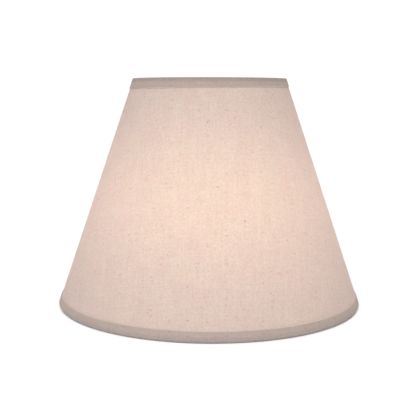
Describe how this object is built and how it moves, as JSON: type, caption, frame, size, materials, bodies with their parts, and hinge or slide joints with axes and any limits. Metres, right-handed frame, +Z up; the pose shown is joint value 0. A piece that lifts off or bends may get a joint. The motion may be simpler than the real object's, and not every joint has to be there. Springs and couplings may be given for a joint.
{
  "type": "lamp shade",
  "caption": "Hardback empire lamp shade: a linen-faced cone with taped rims on a wire frame, held by a spider washer for a harp and finial.",
  "frame": {"origin": "on the shade's axis, in the plane that the bottom edge rests on", "axes": "+Z up along the axis, towards the top ring and its washer; the seam of the cover is at the back, on +Y"},
  "size_m": [0.309, 0.3103, 0.2286],
  "materials": {
    "linen": "oatmeal linen weave with slubs and flecks, translucent when lit",
    "trim_linen": "the same linen as a folded tape, opaque over the rings",
    "styrene": "satin white translucent sheet",
    "adhesive_tape": "clear double-sided film",
    "wire": "bright plated wire",
    "washer_steel": "bright plated pressed washer"
  },
  "bodies": {
    "root": {"top_ring": "wire", "bottom_ring": "wire", "spider_arm_1": "wire", "spider_arm_2": "wire", "spider_arm_3": "wire", "spider_washer": "washer_steel", "styrene_liner": "styrene", "fabric_cover": "linen", "seam_tape": "adhesive_tape", "top_trim": "trim_linen", "bottom_trim": "trim_linen"}
  },
  "joints": []
}
